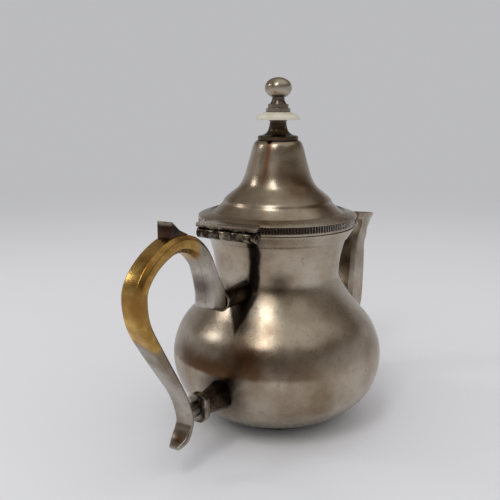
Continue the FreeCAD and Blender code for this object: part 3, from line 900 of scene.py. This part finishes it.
def metal(name, bright, tarnish, smut_and_shade=black_smut_and_shade, gloss=(0.20, 0.36), patch=(0.40, 0.72), grain=38.0,
          shelter=(0.35, 0.85), spin=False, stains_and_shade=()):
    """Old plated metal: bright, with patches of tarnish, dirt and painted shade in the corners and under
    overhangs, and fine scratches.
    """
    material, nodes, links, shader = new_material(name)
    shader.inputs["Metallic"].default_value = 1.0
    patches = ramp(nodes, links, noise(nodes, links, grain, 7.0), *patch)
    speckle = ramp(nodes, links, noise(nodes, links, speckle_grain, 4.0), *speckle_span)
    colour = mixed(nodes, links, patches, bright, tarnish)
    colour = mixed(nodes, links, speckle, colour, tarnish)
    colour = stained_and_shaded(nodes, links, colour, stains_and_shade)
    # Dirt and painted shade in the corners and under overhangs.
    colour = mixed(nodes, links, crevice(nodes, links, metal_crevice, *shelter), smut_and_shade, colour)
    links.new(colour, shader.inputs["Base Color"])
    spread = nodes.new("ShaderNodeMapRange")
    spread.inputs["From Min"].default_value = wear_span[0]
    spread.inputs["From Max"].default_value = wear_span[1]
    spread.inputs["To Min"].default_value = gloss[0]
    spread.inputs["To Max"].default_value = gloss[1]
    links.new(noise(nodes, links, wear_grain, 6.0), spread.inputs["Value"])
    links.new(spread.outputs["Result"], shader.inputs["Roughness"])
    stretch = spin_stretch if spin else (1, 1, 1)
    scratches = noise(nodes, links, scratch_grain, 8.0, stretch, scratch_roughness)
    roughen(nodes, links, shader, scratches, scratch_strength, scratch_depth)
    return material


def handle_metal():
    """Silver plate worn through to brass over the arch and grip of the handle."""
    material = metal("handle_worn_plate", (0.45, 0.41, 0.36, 1), (0.22, 0.17, 0.12, 1), handle_smut_and_shade,
                     patch=(0.42, 0.62), stains_and_shade=handle_stains_and_shade)
    nodes, links = tree(material)
    brass = ramp(nodes, links, noise(nodes, links, 120.0, 6.0), 0.34, 0.66, brass_dark, brass_bright)
    brass = stained_and_shaded(nodes, links, brass, grip_stains)
    across, _, height = axes(nodes, links)
    ragged = reckon(nodes, links, "MULTIPLY_ADD", noise(nodes, links, 75.0), plating_raggedness, height)
    above = within(nodes, links, ragged, plating_edge, plating_edge + plating_fade)
    outside = inverse(nodes, links, within(nodes, links, across, *plating_reach))
    recolour(material, product(nodes, links, above, outside), brass)
    return material


def add_foot_tarnish_and_shade(material):
    """Coppery tarnish with painted contact shade low on the belly, where it meets the base."""
    nodes, links = tree(material)
    height = axes(nodes, links)[2]
    recolour(material, inverse(nodes, links, within(nodes, links, height, *foot_span)), foot_copper_and_shade)


def add_painted_belly_reflection(material):
    """Painted reflection: a brown band round the handle's side of the belly, sharp below and soft above."""
    nodes, links = tree(material)
    across, _, height = axes(nodes, links)
    cloud = noise(nodes, links, 70.0)
    ragged = reckon(nodes, links, "MULTIPLY_ADD", cloud, reflection_band_raggedness, height)
    above = within(nodes, links, ragged, belly_height + reflection_band_low[0], belly_height + reflection_band_low[1])
    over = within(nodes, links, ragged, belly_height + reflection_band_high[0], belly_height + reflection_band_high[1])
    below = inverse(nodes, links, over)
    handle_side = inverse(nodes, links, within(nodes, links, across, *reflection_band_reach))
    patchy = ramp(nodes, links, cloud, 0.25, 0.60, reflection_band_least)
    recolour(material, product(nodes, links, above, below, handle_side, patchy), brown_tarnish_and_reflection)


def add_painted_hinge_reflection(material):
    """Painted reflection and shade: a black streak from the hinge's end to the upper socket, and the drop
    that hangs below it.
    """
    nodes, links = tree(material)
    across, side, height = axes(nodes, links)
    ragged = noise(nodes, links, 160.0)
    line = reckon(nodes, links, "MULTIPLY_ADD", height, streak_lean, side)
    line = off_line(nodes, links, line, streak_place)
    line = reckon(nodes, links, "MULTIPLY_ADD", ragged, hinge_reflection_raggedness, line)
    streak = inverse(nodes, links, within(nodes, links, line, *streak_edge))
    above = within(nodes, links, height, drop_top, drop_top + streak_fade)
    streak = product(nodes, links, streak, above)
    width = reckon(nodes, links, "SUBTRACT", height, drop_tip)
    width = reckon(nodes, links, "MULTIPLY", width, drop_taper)
    middle = reckon(nodes, links, "MULTIPLY_ADD", height, drop_lean, side)
    middle = off_line(nodes, links, middle, drop_place)
    inside = reckon(nodes, links, "SUBTRACT", width, middle)
    inside = reckon(nodes, links, "MULTIPLY_ADD", ragged, hinge_reflection_raggedness, inside)
    below = inverse(nodes, links, within(nodes, links, height, drop_top, drop_top + drop_fade))
    drop = product(nodes, links, within(nodes, links, inside, *drop_edge), below)
    behind = reckon(nodes, links, "LESS_THAN", across, 0.0)
    dark = reckon(nodes, links, "MAXIMUM", streak, drop)
    recolour(material, product(nodes, links, dark, behind), black_smut_and_shade)


def add_knuckle_shade_and_glints(material):
    """Dark, glinting knuckles under the lid's bright hinge strip: tarnish and painted shade, with painted
    glints.
    """
    nodes, links = tree(material)
    height = axes(nodes, links)[2]
    strip = within(nodes, links, height, rim_top + knuckle_span[0], rim_top + knuckle_span[1])
    glints = ramp(nodes, links, noise(nodes, links, 240.0, 4.0), 0.44, 0.62, black_smut_and_shade, knuckle_glint)
    recolour(material, inverse(nodes, links, strip), glints)


def add_steam_streak(material):
    """Coppery streak on the lid below the steam hole."""
    nodes, links = tree(material)
    across, side, height = axes(nodes, links)
    width = reckon(nodes, links, "ABSOLUTE", reckon(nodes, links, "ADD", side, steam_place))
    thin = inverse(nodes, links, within(nodes, links, width, *steam_edge))
    long = within(nodes, links, height, lid_seat + steam_span[0], lid_seat + steam_span[1])
    behind = reckon(nodes, links, "LESS_THAN", across, 0.0)
    recolour(material, product(nodes, links, thin, long, behind), steam_copper)


def add_flute_shadow(material):
    """Painted black shade between the bright tops of the border's flutes."""
    nodes, links = tree(material)
    across, side, _ = axes(nodes, links)
    square = reckon(nodes, links, "MULTIPLY", across, across)
    radius = reckon(nodes, links, "SQRT", reckon(nodes, links, "MULTIPLY_ADD", side, side, square))
    top = within(nodes, links, radius, flute_top - flute_depths[0], flute_top - flute_depths[1])
    recolour(material, inverse(nodes, links, top), black_smut_and_shade)


def add_crest_wear_and_highlight(material):
    """Pale worn metal and painted highlight along the top of the thumb rest."""
    nodes, links = tree(material)
    height = axes(nodes, links)[2]
    crest = within(nodes, links, height, thumb_top - crest_depths[0], thumb_top - crest_depths[1])
    worn = ramp(nodes, links, noise(nodes, links, 330.0, 4.0), 0.42, 0.58)
    recolour(material, product(nodes, links, crest, worn), crest_wear_and_highlight)


def bone():
    """Milky disc with faint clouding, and grime and painted shade in its corners."""
    material, nodes, links, shader = new_material("pale_bone_disc")
    cloud = ramp(nodes, links, noise(nodes, links, 160.0), 0.3, 0.75, bone_cream, bone_white)
    open_places = crevice(nodes, links, bone_crevice, 0.35, 0.85)
    links.new(mixed(nodes, links, open_places, bone_grime_and_shade, cloud), shader.inputs["Base Color"])
    shader.inputs["Roughness"].default_value = bone_gloss
    shader.inputs["Subsurface Weight"].default_value = bone_glow
    shader.inputs["Subsurface Radius"].default_value = bone_glow_reach
    grain = noise(nodes, links, 500.0, 4.0)
    roughen(nodes, links, shader, grain, bone_grain_strength, bone_grain_depth)
    return material


body_silver = metal("body_silver", silver, warm_tarnish, spin=True, stains_and_shade=body_stains_and_shade)
add_painted_belly_reflection(body_silver)
add_painted_hinge_reflection(body_silver)
add_foot_tarnish_and_shade(body_silver)
lid_silver = metal("lid_silver", silver, warm_tarnish, spin=True, stains_and_shade=lid_stains)
add_steam_streak(lid_silver)
knob_silver = metal("knob_silver", silver, warm_tarnish, stains_and_shade=knob_darkening)
trim_silver = metal("trim_silver", dull_silver, dull_tarnish)
stem_silver = metal("stem_tarnish", (0.13, 0.088, 0.055, 1), (0.035, 0.025, 0.018, 1))
socket_brown = metal("socket_tarnish", (0.14, 0.095, 0.055, 1), (0.025, 0.018, 0.012, 1),
                     patch=(0.34, 0.58), grain=120.0)
ring_silver = metal("ring_tarnish", (0.40, 0.35, 0.29, 1), (0.04, 0.03, 0.022, 1),
                    patch=(0.44, 0.62), grain=150.0)
# Pale tone: a painted highlight on the tops of the flutes.
border_silver = metal("border_silver", (0.74, 0.69, 0.61, 1), (0.45, 0.39, 0.31, 1),
                      gloss=(0.26, 0.40), shelter=(0.02, 0.30))
add_flute_shadow(border_silver)
thumb_bronze = metal("thumb_bronze", (0.075, 0.038, 0.024, 1), (0.018, 0.010, 0.007, 1), grain=150.0)
add_crest_wear_and_highlight(thumb_bronze)
# Black knuckles with bright spots: tarnish and painted shade, with painted glints.
hinge_dark = metal("hinge_tarnish_and_glints", knuckle_glint, (0.03, 0.022, 0.016, 1), patch=(0.40, 0.56), grain=240.0)
strip_silver = metal("hinge_strip", dull_silver, dull_tarnish)
add_knuckle_shade_and_glints(strip_silver)
steel = metal("turned_steel", (0.42, 0.40, 0.37, 1), (0.20, 0.16, 0.12, 1))
handle_plate = handle_metal()
pale_bone = bone()


def dress(piece, node, body, material):
    """Gives a piece its material, hangs it on its body and hides the CAD node that it stands for."""
    piece.data.materials.clear()
    piece.data.materials.append(material)
    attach(piece, body)
    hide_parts(node)


dress(make_pot_body(), "pot_body", "pot", body_silver)
dress(make_base(), "base_plate", "pot", body_silver)
dress(make_neck_band(), "neck_band", "pot", body_silver)
dress(make_spout(), "spout", "pot", body_silver)
dress(make_handle(), "handle", "pot", handle_plate)
dress(make_lid(), "lid_dome", "lid", lid_silver)
dress(make_finial_base(), "finial_base", "lid", stem_silver)
dress(make_finial_disc(), "finial_disc", "lid", pale_bone)
dress(make_finial_knob(), "finial_knob", "lid", knob_silver)

pot_trim = {
    "thumb_rest": ("dark_bronze", thumb_bronze),
    "upper_handle_socket": ("silver_plate", socket_brown),
    "upper_handle_ring": ("silver_plate", trim_silver),
    "lower_handle_socket": ("silver_plate", socket_brown),
    "lower_handle_ring": ("silver_plate", ring_silver),
    "hinge_pot_leaf": ("silver_plate", hinge_dark),
    "hinge_pin": ("steel", hinge_dark),
    "gadroon_border": ("silver_plate", border_silver),
}
lid_trim = {
    "hinge_lid_leaf": ("silver_plate", strip_silver),
    "lid_bezel": ("silver_plate", lid_silver),
}
for body, trim in (("pot", pot_trim), ("lid", lid_trim)):
    for node, (slot, material) in trim.items():
        width = 0 if node == "gadroon_border" else edge_softness
        dress(dressed_copy(node, width), node, body, material)

# The fasteners keep their CAD nodes, and get a finish only.
fasteners = {
    "upper_handle_stud": steel,
    "lower_handle_stud": steel,
    "finial_stud": steel,
    "finial_washer": trim_silver,
    "finial_nut": trim_silver,
}
for node, material in fasteners.items():
    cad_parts[node].data.materials.clear()
    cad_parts[node].data.materials.append(material)

# Floor, light and camera
floor_size = 8.0
floor_gloss = 0.7
floor_dark = (0.77, 0.77, 0.785, 1)
floor_pale = (0.81, 0.81, 0.825, 1)
fade_start = 0.30
fade_end = 0.95
backdrop = (0.50, 0.50, 0.515, 1)
wall_top = (0.15, 0.12, 0.095, 1)
wall_span = (0.13, 0.40)
ceiling_tone = (0.30, 0.28, 0.25, 1)
ceiling_span = (0.40, 0.80)
ambient = (0.64, 0.64, 0.655, 1)
lamp_target = (0, 0, 0.06)


def in_view(nodes, links):
    """1 for what the camera sees, directly, mirrored or through glass, and 0 for the light itself."""
    ray = nodes.new("ShaderNodeLightPath")
    most = ray.outputs["Is Camera Ray"]
    for kind in ("Is Glossy Ray", "Is Transmission Ray"):
        most = reckon(nodes, links, "MAXIMUM", most, ray.outputs[kind])
    return most


def make_floor():
    """Pale floor, which fades into the background far from the pot."""
    deselect()
    bpy.ops.mesh.primitive_plane_add(size=floor_size, location=(0, 0, 0))
    floor = bpy.context.object
    floor.name = "floor"
    material, nodes, links, shader = new_material("pale_floor")
    tone = ramp(nodes, links, noise(nodes, links, 3.0, 3.0), 0.2, 0.8, floor_dark, floor_pale)
    links.new(tone, shader.inputs["Base Color"])
    shader.inputs["Roughness"].default_value = floor_gloss
    place = nodes.new("ShaderNodeTexCoord")
    far = nodes.new("ShaderNodeVectorMath")
    far.operation = "LENGTH"
    links.new(place.outputs["Object"], far.inputs[0])
    fade = within(nodes, links, far.outputs["Value"], fade_start, fade_end)
    glow = nodes.new("ShaderNodeEmission")
    glow.inputs["Color"].default_value = backdrop
    both = nodes.new("ShaderNodeMixShader")
    links.new(product(nodes, links, fade, in_view(nodes, links)), both.inputs["Fac"])
    links.new(shader.outputs["BSDF"], both.inputs[1])
    links.new(glow.outputs["Emission"], both.inputs[2])
    links.new(both.outputs["Shader"], nodes["Material Output"].inputs["Surface"])
    floor.data.materials.append(material)


def make_world():
    """Even light, and a room that is pale behind the pot and dims to a warm ceiling."""
    world = bpy.data.worlds.new("room")
    bpy.context.scene.world = world
    world.use_nodes = True
    nodes, links = tree(world)
    background = nodes["Background"]
    place = nodes.new("ShaderNodeTexCoord")
    split = nodes.new("ShaderNodeSeparateXYZ")
    links.new(place.outputs["Generated"], split.inputs["Vector"])
    wall = ramp(nodes, links, split.outputs["Z"], *wall_span, backdrop, wall_top)
    ceiling = within(nodes, links, split.outputs["Z"], *ceiling_span)
    room = mixed(nodes, links, ceiling, wall, ceiling_tone)
    links.new(mixed(nodes, links, in_view(nodes, links), ambient, room), background.inputs["Color"])
    background.inputs["Strength"].default_value = 1.0


def make_lamp(name, place, size, power):
    """White lamp that faces the pot."""
    deselect()
    bpy.ops.object.light_add(type="AREA", location=place)
    lamp = bpy.context.object
    lamp.name = name
    lamp.data.shape = "RECTANGLE"
    lamp.data.size, lamp.data.size_y = size
    lamp.data.energy = power
    lamp.data.color = (1, 1, 1)
    lamp.rotation_euler = (Vector(lamp_target) - Vector(place)).to_track_quat("-Z", "Y").to_euler()


make_floor()
make_world()
make_lamp("key_lamp", (-0.62, -0.10, 0.92), (0.27, 0.50), 2.1)
make_lamp("side_lamp", (-0.42, 0.76, 0.64), (0.14, 0.20), 0.8)
make_lamp("top_lamp", (0.10, -0.35, 1.30), (1.5, 1.5), 2.2)

deselect()
bpy.ops.object.camera_add(location=camera_place, rotation=(camera_pitch, 0, camera_turn))
camera = bpy.context.object
camera.data.lens = camera_lens
camera.data.sensor_width = camera_sensor
camera.data.clip_start = camera_near
bpy.context.scene.camera = camera
bpy.context.scene.view_settings.view_transform = "Standard"
